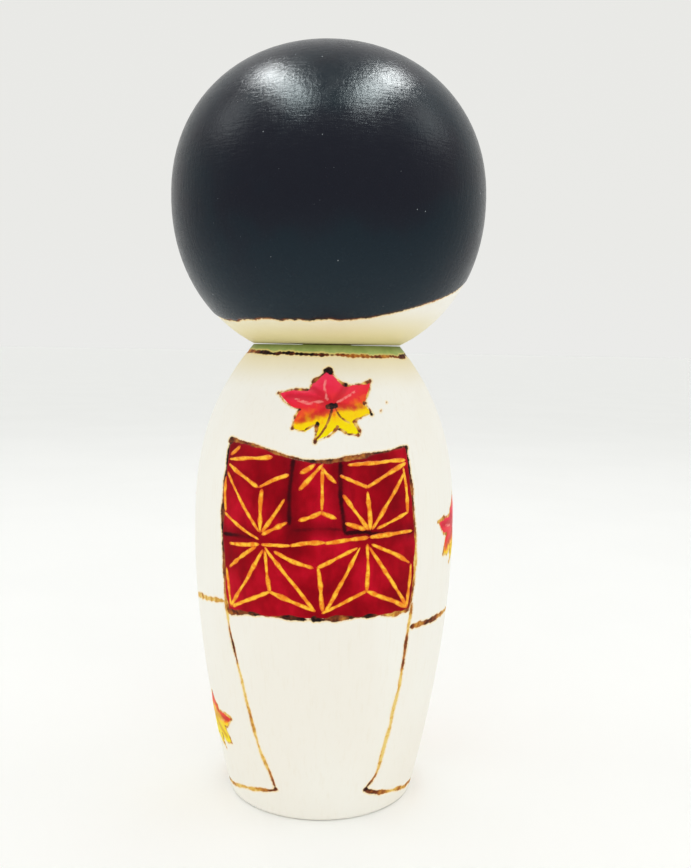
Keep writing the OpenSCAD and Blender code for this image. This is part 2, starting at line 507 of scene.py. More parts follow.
def leaf_distance(points):
    """Distance outside the nearest leaf, and the tone there: 0 at its foot to 1 at its top."""
    found = np.full(len(points), FAR)
    tone = np.zeros(len(points))
    for leaf in LEAVES:
        flat = leaf.surface.flat(points)
        near = within(flat, leaf.outline, 3)
        if len(near):
            d = inside_outline(flat[near], leaf.outline)
            closer = d < found[near]
            slant = 0.2 * leaf.mirror * (flat[near, 0] - leaf.across)
            up = (flat[near, 1] - leaf.height - slant) / (LEAF_HEIGHT * leaf.size) + 0.5 + leaf.tone
            tone[near] = np.where(closer, up, tone[near])
            found[near] = np.minimum(found[near], d)
    return found, tone


def body_attributes(points):
    burn, heat = nearest_line(BURNT, points)
    vein, _ = nearest_line(VEINS, points, 1.5)
    crease, _ = nearest_line(CREASES, points, 1.5)
    fold, depth = nearest_line(FOLDS, points)
    leaf, tone = leaf_distance(points)
    return {"burn": burn, "scorch": heat, "vein": vein, "crease": crease, "leaf": leaf, "tone": tone,
            "fold": fold, "fold_depth": depth,
            "sash": nearest_area(SASHES, points), "collar": collar_distance(points)}


def body_detail(points):
    """How far each point is from the nearest edge that needs a fine mesh."""
    burn, _ = nearest_line(BURNT + FOLDS, points, 6.0)
    leaf, _ = leaf_distance(points)
    return np.minimum(np.abs(burn), np.abs(leaf))


# ---------------------------------------------------------------- meshes

def grid_mesh(surface_point, rows, columns):
    """A tube of quads; surface_point(row, angles) gives a ring, from the lowest row upwards."""
    bm = bmesh.new()
    angles = np.arange(columns) * 2 * math.pi / columns
    rings = [[bm.verts.new(p) for p in surface_point(row, angles)] for row in rows]
    for low, high in zip(rings, rings[1:]):
        for i in range(columns):
            j = (i + 1) % columns
            bm.faces.new((low[i], low[j], high[j], high[i]))
    return bm


def points_of(bm):
    return np.array([v.co[:] for v in bm.verts])


def refine(bm, snap, wanted):
    """Three times halves the faces larger than wanted(point) millimetres, and snaps to the surface."""
    for _ in range(3):
        bm.faces.ensure_lookup_table()
        centres = np.array([f.calc_center_median()[:] for f in bm.faces])
        sizes = np.sqrt([f.calc_area() for f in bm.faces])
        large = np.flatnonzero(sizes > 1.35 * wanted(centres))
        if not len(large):
            break
        edges = {e for i in large for e in bm.faces[i].edges}
        bmesh.ops.subdivide_edges(bm, edges=list(edges), cuts=1, use_grid_fill=True,
                                  use_single_edge=True)
        for v, p in zip(bm.verts, snap(points_of(bm))):
            v.co = p


class Solid:
    """A mesh being gathered in millimetres, with one row of attributes for every vertex."""

    def __init__(self, points, faces, attributes):
        self.points = [np.asarray(points, float)]
        self.faces = list(faces)
        self.count = len(self.points[0])
        self.attributes = {k: [np.asarray(v, float)] for k, v in attributes.items()}
        self.far = {k: FAR for k in attributes}

    def add(self, points, **values):
        points = np.atleast_2d(points)
        first = self.count
        self.points.append(points)
        self.count += len(points)
        for name, lists in self.attributes.items():
            lists.append(np.full(len(points), values.get(name, self.far[name])))
        return np.arange(first, self.count)

    def position(self, indices):
        return np.vstack(self.points)[indices]

    def ring(self, radius, height, columns, **values):
        """A ring of new vertices, or a single one where the radius is 0."""
        angles = np.arange(columns) * 2 * math.pi / columns
        points = np.stack([-radius * np.sin(angles), radius * np.cos(angles),
                           np.full(columns, height)], -1)
        return self.add(points, **values)

    def stitch(self, a, b):
        """Joins two rings, whatever their counts, going round both by bearing."""
        a, b = self.by_bearing(a), self.by_bearing(b)
        if len(b) == 1:
            self.faces += [(a[i], a[(i + 1) % len(a)], b[0]) for i in range(len(a))]
            return
        if len(a) == len(b):
            self.faces += [(a[i], a[(i + 1) % len(a)], b[(i + 1) % len(b)], b[i])
                           for i in range(len(a))]
            return
        angle_a, angle_b = self.bearing(a), self.bearing(b)
        angle_a = np.r_[angle_a, angle_a[0] + 2 * math.pi]
        angle_b = np.r_[angle_b, angle_b[0] + 2 * math.pi]
        i = j = 0
        while i < len(a) or j < len(b):
            middle_a = angle_a[i] + angle_a[i + 1] if i < len(a) else 1e9
            middle_b = angle_b[j] + angle_b[j + 1] if j < len(b) else 1e9
            if middle_a <= middle_b:
                self.faces.append((a[i], a[(i + 1) % len(a)], b[j % len(b)]))
                i += 1
            else:
                self.faces.append((a[i % len(a)], b[(j + 1) % len(b)], b[j]))
                j += 1

    def bearing(self, indices):
        p = self.position(indices)
        return np.arctan2(-p[:, 0], p[:, 1])

    def by_bearing(self, indices):
        return np.asarray(indices)[np.argsort(self.bearing(indices))]

    def rings(self, start, profile, **values):
        """Carries the mesh on from the ring start through (radius, height, columns) steps."""
        last = start
        for radius, height, columns in profile:
            ring = self.ring(radius, height, columns, **values)
            self.stitch(last, ring)
            last = ring
        return last

    def build(self, name, material, body, replaces=None):
        mesh = bpy.data.meshes.new(name)
        faces = [tuple(map(int, face)) for face in self.faces]
        mesh.from_pydata((np.vstack(self.points) * MM).tolist(), [], faces)
        bm = bmesh.new()
        bm.from_mesh(mesh)
        bmesh.ops.recalc_face_normals(bm, faces=bm.faces)
        bm.to_mesh(mesh)
        bm.free()
        mesh.polygons.foreach_set("use_smooth", np.ones(len(mesh.polygons), bool))
        mesh.set_sharp_from_angle(angle=math.radians(42))
        for key, lists in self.attributes.items():
            layer = mesh.attributes.new(key, "FLOAT", "POINT")
            layer.data.foreach_set("value", np.concatenate(lists).astype(np.float32))
        mesh.materials.append(material)
        obj = bpy.data.objects.new(name, mesh)
        bpy.context.scene.collection.objects.link(obj)
        if replaces:
            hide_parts(replaces)
        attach(obj, body)


def smooth(x, low, high):
    t = np.clip((x - low) / (high - low), 0, 1)
    return t * t * (3 - 2 * t)


def open_ends(bm):
    """The vertices on a tube's lowest and highest open edges."""
    ends = [v.index for v in bm.verts if v.is_boundary]
    height = np.array([bm.verts[i].co.z for i in ends])
    middle = (height.min() + height.max()) / 2
    return ([i for i, h in zip(ends, height) if h < middle],
            [i for i, h in zip(ends, height) if h > middle])


def turned_skin(surface_point, rows, columns, snap, wanted):
    """A finely meshed tube: its points, its faces, and the vertices on its low and high ends."""
    bm = grid_mesh(surface_point, rows, columns)
    refine(bm, snap, wanted)
    bm.verts.index_update()
    bm.verts.ensure_lookup_table()
    low, high = open_ends(bm)
    points, faces = points_of(bm), [tuple(v.index for v in f.verts) for f in bm.faces]
    bm.free()
    return points, faces, low, high


def add_bore(solid, start, edge, radius, level, end):
    """Closes an end: a flat face at this level, and a bore with a drilled point that reaches end."""
    inward = math.copysign(1, end - level)
    point = end + inward * radius / math.tan(DRILL_POINT)
    solid.rings(start, [(edge, level, 120), (radius + CHAMFER, level, 64),
                        (radius, level + inward * 0.4, 64), (radius, level + inward * 8, 64),
                        (radius, end, 64), (0, point, 1)])


def make_body(material):
    rows = np.r_[np.linspace(RIM_R, BELLY_H, 58), np.linspace(BELLY_H, BODY_H, 46)[1:]]
    fine = 0.2

    def ring(row, angles):
        return BACK.place(angles, np.full(len(angles), row))

    def wanted(points):
        return np.clip(fine + 0.3 * np.maximum(body_detail(points) - 0.3, 0), fine, 0.9)

    points, faces, low, high = turned_skin(ring, rows, 180, BACK.snap, wanted)
    attributes = body_attributes(points)
    depth = (0.05 + 0.1 * attributes["scorch"]) * smooth(attributes["burn"], 0.2, -0.15)
    depth = np.maximum(depth, 0.08 * attributes["fold_depth"] * smooth(attributes["fold"], 0.3, -0.2))
    depth = np.maximum(depth, 0.06 * smooth(attributes["crease"], 0.5, -0.2))
    paint = 0.03 * smooth(np.minimum(attributes["sash"], attributes["leaf"]), 0.1, -0.1)
    angle = np.arctan2(-points[:, 0], points[:, 1])
    attributes["bare"] = np.zeros(len(points))
    solid = Solid(BACK.place(angle, points[:, 2], paint - depth), faces, attributes)
    solid.far.update(scorch=0.0, tone=0.0, fold_depth=0.0, bare=1.0)
    rim = [(BASE_R - RIM_R * (1 - math.cos(a)), RIM_R * (1 - math.sin(a)), 120)
           for a in (0.3, 0.65, 1.0, 1.3, math.pi / 2)]
    last = solid.rings(low, rim[:-1], bare=0.0)
    last = solid.rings(last, rim[-1:], bare=0.3)
    # the underside: a shallow hollow, and the mark of the lathe's centre in its middle
    solid.rings(last, [(15.6, 0, 96), (15.2, 0.3, 96), (8, 0.3, 64), (1.6, 0.3, 32), (1.2, 0.5, 24),
                       (0, 1.6, 1)])
    add_bore(solid, high, NECK_R - 0.25, DOWEL_R + TURNING_PLAY, BODY_H, SEAM_H - DOWEL_REACH - END_GAP)
    solid.build("body_painted", material, "body", "body")


# ---------------------------------------------------------------- the head, its hair and its face

def hairline(angle):
    """Height of the hair's edge at a bearing: level at the nape, rising to the fringe."""
    turn = np.degrees((angle - FACE.start + math.pi) % (2 * math.pi) - math.pi)
    side = np.abs(turn)
    fringe = np.interp(side, [0, 20, 36, 42, 45, 49, 53, 58, 63, 70],
                       [126.8, 126.6, 126, 124.6, 121.5, 115.5, 110.5, 107.3, 105.8, 104.9])
    lock = 180 - side
    back = 96.1 + 8.8 * (np.clip(lock - 36, 0, 76) / 76) ** 1.5
    height = np.where(side < 70, fringe, back)
    notch = np.abs((turn / 6.3 + 0.25 * np.sin(turn / 11)) % 1 - 0.5)
    height = height - np.where(side < 42, 1.3 * notch + 0.4 * np.sin(turn / 7), 0)
    wave = 0.1 * np.sin(9 * angle + 1) + 0.09 * np.sin(23 * angle + 2) + 0.06 * np.sin(47 * angle)
    calm = 1 - 0.8 * np.clip((lock - 30) / 15, 0, 1)
    return height + wave * calm


def hair_edge_line():
    angles = np.linspace(-math.pi, math.pi, 400)
    points = np.stack([angles * HEAD_R, hairline(NAPE.start + angles) - 0.05], -1)
    heat = 0.8 + 0.12 * np.sin(np.arange(30) * 2.4)
    return Line(NAPE, points, 0.55, heat, wobble=0.0, ragged=0.15, step=0.5)


HAIR_EDGE = [hair_edge_line()]
CHEEKS = [FACE.point(np.array([side]), np.array([104.8]))[0] for side in (-15.5, 15.5)]


def head_point(steep, angles):
    """Points of the head at an angle up from its widest level; 90 degrees is the crown."""
    n = SQUARENESS
    steep = np.broadcast_to(steep, np.shape(angles))
    r = HEAD_R * np.maximum(np.cos(steep), 0) ** (2 / n)
    tall = np.where(steep < 0, JAW_H, CROWN_H - CHEEK_H)
    up = np.sign(steep) * tall * np.abs(np.sin(steep)) ** (2 / n)
    return np.stack([-r * np.sin(angles), r * np.cos(angles), CHEEK_H + up], -1)


def steepness(height):
    up = height - CHEEK_H
    tall = np.where(up < 0, JAW_H, CROWN_H - CHEEK_H)
    return np.sign(up) * np.arcsin(np.clip(np.abs(up) / tall, 0, 1) ** (SQUARENESS / 2))


def make_head(material):
    rows = np.linspace(steepness(np.array(SEAM_H)), math.radians(83), 76)
    fine = 0.22

    def wanted(points):
        burn, _ = nearest_line(HAIR_EDGE, points, 4.0)
        return np.clip(fine + 0.3 * np.maximum(burn - 0.4, 0), fine, 1.3)

    points, faces, low, high = turned_skin(head_point, rows, 150, head_snap, wanted)
    burn, heat = nearest_line(HAIR_EDGE, points)
    blush = sum(np.exp(-(np.linalg.norm(points - cheek, axis=1) / 4.6) ** 2) for cheek in CHEEKS)
    attributes = {"burn": burn, "scorch": heat, "blush": blush, "bare": np.zeros(len(points))}
    solid = Solid(head_snap(points, -0.12 * smooth(burn, 0.2, -0.15)), faces, attributes)
    solid.far.update(scorch=0.0, blush=0.0, bare=1.0)
    solid.rings(high, [(1.2, CROWN_H - 0.03, 32), (0, CROWN_H, 1)], bare=0.0)
    add_bore(solid, low, NECK_R - 0.3, DOWEL_R, SEAM_H, SEAM_H + DOWEL_REACH + END_GAP)
    solid.build("head_painted", material, "head", "head")


# The hair's rings are counted in steps from its edge to the crown. Thickness is in millimetres.
CROWN_STEP, HAIR_THICKNESS, HAIR_ROUNDING = 60, 0.17, 0.42


def make_hair(material):
    """The hair: one thick coat of black lacquer, rounded over at its edge."""
    many = 760
    steps = [0, 0.06, 0.15, 0.28, 0.45, 0.8, 1.4, 2.2, 3.2, 4.4]
    steps += list(np.arange(5.8, CROWN_STEP - 1, 1.5))
    solid = Solid(np.zeros((0, 3)), [], {"edge": []})

    def ring(step, lift, columns):
        angles = (np.arange(columns) + 0.5) * 2 * math.pi / columns
        start = steepness(hairline(angles) + 0.05)
        steep = start + (math.pi / 2 - start) * step / CROWN_STEP
        return solid.add(head_snap(head_point(steep, angles), lift), edge=step)

    def columns_at(step):
        if step < 3:
            return many
        return max(int(many * math.cos(step / CROWN_STEP * 1.5) / (2 if step < 12 else 3)), 40)

    def lift_at(step):
        rounding = math.sqrt(1 - (1 - min((step + 0.01) / HAIR_ROUNDING, 1)) ** 2)
        return 0.03 + (HAIR_THICKNESS - 0.03) * rounding

    def shell(rows, top):
        """Carries the coat from its rim to the crown through (step, lift, columns) rings."""
        last = rim
        for row in rows:
            following = ring(*row)
            solid.stitch(last, following)
            last = following
        solid.stitch(last, solid.add([(0, 0, CROWN_H + top)], edge=CROWN_STEP))

    rim = ring(0, 0.03, many)
    shell([(step, lift_at(step), columns_at(step)) for step in steps], HAIR_THICKNESS)
    under = ((1.0, many // 2), (4, many // 4), (12, 90), (24, 64), (36, 48), (50, 32))
    shell([(step, 0.01, columns) for step, columns in under], 0.01)
    solid.build("hair_lacquer", material, "head")


def raised_strokes(name, lines, material, body, thick=0.07):
    """Brush strokes as thin raised ribs of paint along lines."""
    solid = Solid(np.zeros((0, 3)), [], {"core": []})
    across = np.array([-1, -0.8, -0.35, 0.35, 0.8, 1, 0.5, -0.5])
    height = np.array([-0.02, 0.6 * thick, thick, thick, 0.6 * thick, -0.02, -0.04, -0.04])
    core = np.array([0, 0.3, 1, 1, 0.3, 0, 0, 0.0])
    for line in lines:
        path = line.path
        tangent = np.gradient(path, axis=0)
        outward = line.surface.snap(path, 1.0) - line.surface.snap(path, 0.0)
        side = np.cross(outward, tangent)
        side /= np.maximum(np.linalg.norm(side, axis=1), 1e-9)[:, None]
        rings = []
        for i in range(len(path)):
            half = max(line.half[i], 0.03)
            base = path[i] + across[:, None] * half * side[i]
            shrink = min(1.0, half / 0.25)
            lifted = line.surface.snap(base, np.where(height > 0, height * shrink, height))
            first = solid.count
            solid.add(lifted)
            rings.append(np.arange(first, solid.count))
            solid.attributes["core"][-1] = core * min(1, 0.6 * min(i, len(path) - 1 - i))
        for a, b in zip(rings, rings[1:]):
            solid.faces += [(a[k], a[(k + 1) % 8], b[(k + 1) % 8], b[k]) for k in range(8)]
        solid.faces += [tuple(rings[0][::-1]), tuple(rings[-1])]
    solid.build(name, material, body)


def hemp_strokes():
    """The sash's hemp-leaf pattern: stroke by stroke on the knot at the back, and round the front."""
    upper_left = [((-18.5, 72.5), (-20.5, 71)), ((-20.5, 70), (-10.5, 71)), ((-20.5, 69), (-13, 65.5)),
                  ((-12.5, 65.5), (-7, 68)), ((-12, 65), (-12, 57.5)), ((-21, 66.5), (-20.5, 60.5)),
                  ((-20.5, 67.5), (-12.5, 57.5)), ((-20.5, 60), (-12.5, 56)),
                  ((-7.5, 63.5), (-11.5, 57.5)), ((-7, 59.5), (-11.5, 57))]
    upper_middle = [((-4.5, 68.5), (-2, 70)), ((-4.5, 65.5), (-0.5, 70)), ((2, 67), (-0.5, 69.5)),
                    ((-0.5, 69), (-0.5, 62)), ((-0.5, 61.5), (-4.5, 60)), ((-0.5, 61.5), (2, 60.5))]
    upper_right = [((4.5, 70), (16.5, 70.5)), ((3, 68), (8, 66)), ((16.5, 70), (8, 66)),
                   ((8, 65), (8.5, 58.5)), ((3.5, 64.5), (8, 58.5)), ((16, 68), (9, 58.5)),
                   ((16, 69), (16.5, 61)), ((16.5, 61), (10, 58.5)), ((4, 59.5), (7.5, 58.5))]
    middle = [((-19, 54.5), (-12.4, 55)), ((-11.6, 55.1), (-6.2, 55.4)), ((-6, 55.4), (0.2, 56)),
              ((0.4, 56), (8, 56.9)), ((8.6, 57), (17.4, 57.4))]
    lower_left = [((-13, 54.5), (-19, 50)), ((-11.5, 54), (-19, 42.5)), ((-11, 54), (-10, 46.5)),
                  ((-11, 54.5), (-1.5, 43.5)), ((-9, 54), (-2, 51.5)), ((-20, 49.5), (-19, 42.5)),
                  ((-10, 46.5), (-18.5, 42.5)), ((-10, 46.5), (-1.5, 43.5))]
    lower_right = [((6, 55), (-1, 51.5)), ((6.5, 55), (0.5, 43.5)), ((8, 55.5), (8, 47)),
                   ((8.5, 55), (17, 43)), ((9, 55.5), (17, 51.5)), ((17.5, 51), (17, 43)),
                   ((-1, 51.5), (0, 43.5)), ((8, 47), (0, 43)), ((8, 47), (17, 43))]
    back = upper_left + upper_middle + upper_right + middle + lower_left + lower_right
    lines = [hemp_stroke(BACK, a, b) for a, b in back]
    return lines + hemp_band()


def hemp_stroke(surface, a, b):
    a, b = np.array(a, float), np.array(b, float)
    along = (b - a) / np.hypot(*(b - a))
    a, b = a - 0.25 * along, b + 0.25 * along
    bend = (a + b) / 2 + rng.normal(0, 0.12, 2)
    swell = np.array([0.7, 0.9, 1, 0.95, 0.85, 1, 0.95, 0.75]) * 0.92
    return Line(surface, [a, bend, b], swell + rng.normal(0, 0.06, 8), 0.5, wobble=0.05, ragged=0.14,
                beads=0.07, bead_pitch=1.9, taper=0.5, step=0.3)


def hemp_star(surface, x, height, reach):
    """One hexagon of the hemp-leaf pattern: its spokes, and a fork in every gap between them."""
    def corner(k, share=1.0):
        turn = math.radians(90 + 60 * k)
        return np.array([x + share * reach * math.cos(turn), height + share * reach * math.sin(turn)])

    lines = []
    for k in range(6):
        fork = (corner(k) + corner(k + 1) + (x, height)) / 3
        lines.append(hemp_stroke(surface, corner(k, 0.1), corner(k, 0.95)))
        for tip in (corner(k), corner(k + 1)):
            lines.append(hemp_stroke(surface, fork * 0.94 + tip * 0.06, fork * 0.1 + tip * 0.9))
    return lines


def hemp_band():
    """Three hexagons side by side on the sash's front, and the upright strokes between them."""
    reach, height = 8.2, 52.6
    width = reach * math.sqrt(3)
    lines = []
    for k in (-1, 0, 1):
        lines += hemp_star(FRONT, 0.3 + k * width, height, reach)
    for k in (-0.5, 0.5):
        x = 0.3 + k * width
        for side in (-1, 1):
            start, end = height + side * 0.55 * reach, height + side * 0.93 * reach
            lines.append(hemp_stroke(FRONT, (x, start), (x, end)))
    return lines


def almond(count, width):
    return width * np.sqrt(np.maximum(1 - np.linspace(-1, 1, count) ** 2, 0.02))


def face_strokes():
    """A calm, plain face: brows and eyes in ink, nose and lid lines in brown, mouth in red."""
    ink, brown, red = [], [], []

    def stroke(group, points, width, **more):
        settings = dict(wobble=0.0, ragged=0.04, taper=1.5, step=0.25)
        settings.update(more)
        group.append(Line(FACE, points, width, 0.5, **settings))

    for side in (-1, 1):
        def at(*points):
            return [(side * x, z) for x, z in points]
        stroke(ink, at((5.4, 119), (7.6, 120.5), (10.4, 121.2), (13, 120.7), (15.4, 119.3)),
               [0.45, 0.95, 1.05, 0.85, 0.3])
        stroke(ink, at((5.3, 111.6), (6.8, 113.2), (9.2, 114.2), (11.8, 113.7), (13.9, 112),
                       (14.7, 111.2)), [0.35, 0.7, 1.0, 1.0, 0.7, 0.25])
        stroke(ink, at((8.3, 112), (9.6, 112.1), (10.9, 112)), almond(9, 3.0), taper=0.01)
        stroke(brown, at((6.2, 110.8), (8, 110.1), (10.2, 109.9), (12.6, 110.6)), [0.15, 0.32, 0.3, 0.12])
        stroke(brown, at((6.6, 115), (9.4, 116), (12.4, 115.6), (14.2, 114.2)), [0.15, 0.35, 0.35, 0.12])
    stroke(brown, [(-1.4, 107), (-0.8, 106.3), (0, 106.05), (0.8, 106.3), (1.4, 107)],
           [0.2, 0.42, 0.5, 0.42, 0.2])
    stroke(red, [(-2.9, 101.6), (-1.8, 102.15), (-0.9, 102.4), (0, 102.1), (0.9, 102.4),
                 (1.8, 102.15), (2.9, 101.6)], [0.25, 0.75, 0.95, 0.75, 0.95, 0.75, 0.25])
    stroke(red, [(-2, 101.1), (-1, 100.75), (0, 100.65), (1, 100.75), (2, 101.1)],
           [0.25, 0.85, 1.1, 0.85, 0.25])
    return ink, brown, red


# ---------------------------------------------------------------- materials

def rgb(r, g, b):
    """A colour given as 0-255 on screen."""
    def linear(c):
        c /= 255
        return c / 12.92 if c <= 0.04045 else ((c + 0.055) / 1.055) ** 2.4
    return (linear(r), linear(g), linear(b), 1.0)


def set_stops(node, stops):
    """Gives a colour ramp node these (position, 0-255 colour) stops, in rising order."""
    elements = node.color_ramp.elements
    elements.remove(elements[1])
    elements[0].position, elements[0].color = stops[0][0], rgb(*stops[0][1])
    for at, colour in stops[1:]:
        elements.new(at).color = rgb(*colour)


class Paint:
    """A node material round one Principled shader; lengths in its textures are millimetres."""

    def __init__(self, name, **uniform):
        self.material = bpy.data.materials.new(name)
        self.material.use_nodes = True
        self.tree = self.material.node_tree
        self.shader = self.tree.nodes["Principled BSDF"]
        for socket, value in uniform.items():
            self.shader.inputs[socket.replace("_", " ")].default_value = value
        self.place = self.tree.nodes.new("ShaderNodeTexCoord").outputs["Object"]

    def node(self, kind, inputs, **settings):
        node = self.tree.nodes.new("ShaderNode" + kind)
        for key, value in settings.items():
            setattr(node, key, value)
        for key, value in inputs.items():
            self.feed(node.inputs[key], value)
        return node

    def feed(self, socket, value):
        if isinstance(value, bpy.types.NodeSocket):
            self.tree.links.new(value, socket)
        else:
            socket.default_value = value

    def attribute(self, name):
        return self.node("Attribute", {}, attribute_name=name).outputs["Fac"]

    def math(self, operation, a, b=0.0, c=0.0):
        return self.node("Math", {0: a, 1: b, 2: c}, operation=operation).outputs[0]

    def step(self, value, low, high, to_low=0.0, to_high=1.0):
        """to_low below low, to_high above high, and eased between."""
        node = self.node("MapRange", {"Value": value, "From Min": low, "From Max": high,
                                      "To Min": to_low, "To Max": to_high},
                         interpolation_type="SMOOTHSTEP")
        return node.outputs[0]

    def mix(self, amount, a, b):
        """From colour a to colour b, each the output of a node or plain 0-255 numbers."""
        a, b = (rgb(*colour) if isinstance(colour, tuple) else colour for colour in (a, b))
        node = self.node("Mix", {}, data_type="RGBA")
        for socket, value in ((0, amount), (6, a), (7, b)):
            self.feed(node.inputs[socket], value)
        return node.outputs[2]

    def in_mm(self, stretch=(1, 1, 1)):
        """The place in millimetres, scaled along each axis."""
        scale = tuple(s / MM for s in stretch)
        return self.node("Mapping", {"Vector": self.place, "Scale": scale}).outputs[0]

    def noise(self, per_mm, detail=2.0, stretch=(1, 1, 1), roughness=0.5):
        return self.node("TexNoise", {"Vector": self.in_mm(stretch), "Scale": per_mm,
                                      "Detail": detail, "Roughness": roughness}).outputs[0]

    def drift(self, per_mm, low, high, to_low=0.0, to_high=1.0):
        """Noise, eased from to_low where it is below low to to_high where it is above high."""
        return self.step(self.noise(per_mm, 3), low, high, to_low, to_high)

    def by_height(self, low, high, to_low, to_high):
        """Eased from to_low to to_high between two heights in millimetres."""
        height = self.node("SeparateXYZ", {0: self.place}).outputs["Z"]
        return self.step(height, low * MM, high * MM, to_low, to_high)

    def wavering(self, name, waver):
        """An attribute of the mesh, such as the distance outside a drawn edge, made to waver."""
        return self.math("ADD", self.attribute(name), waver)

    def ramp(self, value, *stops):
        node = self.node("ValToRGB", {0: value})
        set_stops(node, stops)
        return node.outputs[0]

    def bump(self, height, depth_mm, strength=1.0, under=None):
        inputs = {"Height": height, "Distance": depth_mm * MM, "Strength": strength}
        if under:
            inputs["Normal"] = under
        return self.node("Bump", inputs).outputs[0]

    def finish(self, colour, roughness, normal=None):
        self.feed(self.shader.inputs["Base Color"], colour)
        self.feed(self.shader.inputs["Roughness"], roughness)
        if normal:
            self.feed(self.shader.inputs["Normal"], normal)
        return self.material


def pale_wood(paint):
    """Pale waxed wood with faint upright grain, soft clouds and flecks; rawer where it is bare."""
    cloud = paint.noise(0.05, 2, (1, 1, 0.35))
    grain = paint.noise(1.5, 4, (1, 1, 0.035), 0.6)
    fleck = paint.noise(4.0, 2, (1, 1, 0.12))
    colour = paint.mix(paint.step(cloud, 0.35, 0.65), (243, 241, 233), (241, 237, 227))
    colour = paint.mix(paint.step(grain, 0.5, 0.75, 0, 0.16), colour, (228, 218, 196))
    colour = paint.mix(paint.step(fleck, 0.68, 0.78, 0, 0.12), colour, (214, 200, 172))
    bare = paint.attribute("bare")
    raw = paint.mix(paint.step(grain, 0.35, 0.7), (226, 205, 168), (203, 174, 130))
    return paint.mix(bare, colour, raw), grain, bare


def burn_over(paint, colour, waver, covered=0.0):
    """Lays the burning pen's marks over a colour: gold where it was quick, black where it rested.
    No gold shows round them where paint has covered the wood."""
    distance = paint.wavering("burn", waver)
    heat = paint.wavering("scorch", paint.drift(0.9, 0.3, 0.7, -0.16, 0.16))
    halo = paint.step(distance, -0.05, 0.42, 1, 0)
    strength = paint.math("MULTIPLY", halo, paint.step(heat, 0, 1, 0.45, 0.75))
    strength = paint.math("MULTIPLY", strength, paint.math("SUBTRACT", 1.0, covered))
    colour = paint.mix(strength, colour, (248, 212, 130))
    char = paint.ramp(heat, (0.0, (234, 204, 122)), (0.14, (222, 174, 80)), (0.34, (186, 120, 52)),
                      (0.54, (138, 72, 36)), (0.74, (84, 42, 28)), (0.95, (26, 18, 20)))
    core = paint.step(distance, -0.1, 0.1, 1, 0)
    return paint.mix(core, colour, char), core


def painted_body_material():
    """Wood, green collar, red sash and two-coloured leaves, all under the burnt lines, with painted shade
    and warm bounce light near the neck, under the chin, beside the knot's edges and in the leaves'
    hollows.
    """
    paint = Paint("painted_wood", Specular_IOR_Level=0.05)
    colour, grain, bare = pale_wood(paint)
    waver = paint.drift(1.6, 0.25, 0.75, -0.08, 0.08)
    # Painted shade and warm bounce light: the wood turns yellower and darker towards the neck, under the
    # head.
    painted_warm_bounce_shade = paint.by_height(BODY_H - 9, BODY_H - 1, 0, 0.7)
    colour = paint.mix(painted_warm_bounce_shade, colour, (230, 214, 160))

    edge = paint.wavering("collar", waver)
    green = paint.mix(paint.drift(0.5, 0.35, 0.65), (170, 188, 116), (150, 172, 100))
    # Painted shadow: the green darkens to olive at the top of the collar, under the chin.
    painted_chin_shadow = paint.by_height(BODY_H - 1.6, BODY_H, 0, 0.8)
    green = paint.mix(painted_chin_shadow, green, (104, 112, 54))
    colour = paint.mix(paint.step(edge, -0.08, 0.06, 1, 0), colour, green)

    patch = paint.noise(0.13, 3, (1, 1, 0.8), 0.6)
    brushed = paint.noise(0.8, 3, (1, 1, 0.3), 0.5)
    red = paint.ramp(patch, (0.34, (126, 0, 14)), (0.46, (148, 0, 18)), (0.56, (170, 4, 26)),
                     (0.68, (194, 10, 38)))
    red = paint.mix(paint.step(brushed, 0.5, 0.8, 0, 0.35), red, (128, 0, 18))
    fold = paint.wavering("fold", waver)
    # Painted shade: the red darkens in a band beside the knot's burnt edges; the narrow dark core along
    # them is the burnt line under the paint.
    red = paint.mix(paint.step(fold, 0, 2.4, 0.5, 0), red, (98, 0, 12))
    fold = paint.math("MULTIPLY", paint.step(fold, -0.25, 0.45, 1, 0), paint.attribute("fold_depth"))
    red = paint.mix(paint.step(fold, 0, 0.9, 0, 0.92), red, (38, 4, 10))
    sash = paint.step(paint.wavering("sash", waver), -0.08, 0.06, 1, 0)
    colour = paint.mix(sash, colour, red)

    tone = paint.wavering("tone", paint.drift(0.7, 0.3, 0.7, -0.05, 0.05))
    petal = paint.ramp(tone, (0.1, (246, 226, 0)), (0.32, (250, 208, 6)), (0.385, (246, 148, 16)),
                       (0.44, (238, 92, 34)), (0.52, (234, 44, 48)), (0.75, (236, 34, 66)),
                       (1.0, (240, 56, 92)))
    # Painted shade: the leaves darken along the hollows between their lobes, deep orange low down and
    # deep red higher up.
    crease = paint.step(paint.wavering("crease", waver), 0.0, 0.9, 0.6, 0)
    painted_crease_shade = paint.mix(paint.step(tone, 0.3, 0.45), (206, 120, 10), (186, 16, 34))
    petal = paint.mix(crease, petal, painted_crease_shade)
    vein = paint.step(paint.wavering("vein", waver), -0.05, 0.25, 0.6, 0)
    petal = paint.mix(vein, petal, (250, 160, 150))
    leaf = paint.step(paint.wavering("leaf", waver), -0.1, 0.06, 1, 0)
    colour = paint.mix(leaf, colour, petal)

    painted = paint.math("MAXIMUM", sash, leaf)
    colour, core = burn_over(paint, colour, waver, painted)
    roughness = paint.drift(0.3, 0.3, 0.7, 0.4, 0.5)
    roughness = paint.math("MULTIPLY_ADD", core, 0.15, roughness)
    roughness = paint.math("MULTIPLY_ADD", painted, -0.08, roughness)
    roughness = paint.math("MULTIPLY_ADD", bare, 0.2, roughness)
    normal = paint.bump(grain, 0.012, 0.5)
    normal = paint.bump(paint.noise(2.4, 3), 0.02, paint.math("MULTIPLY", core, 0.8), normal)
    return paint.finish(colour, roughness, normal)


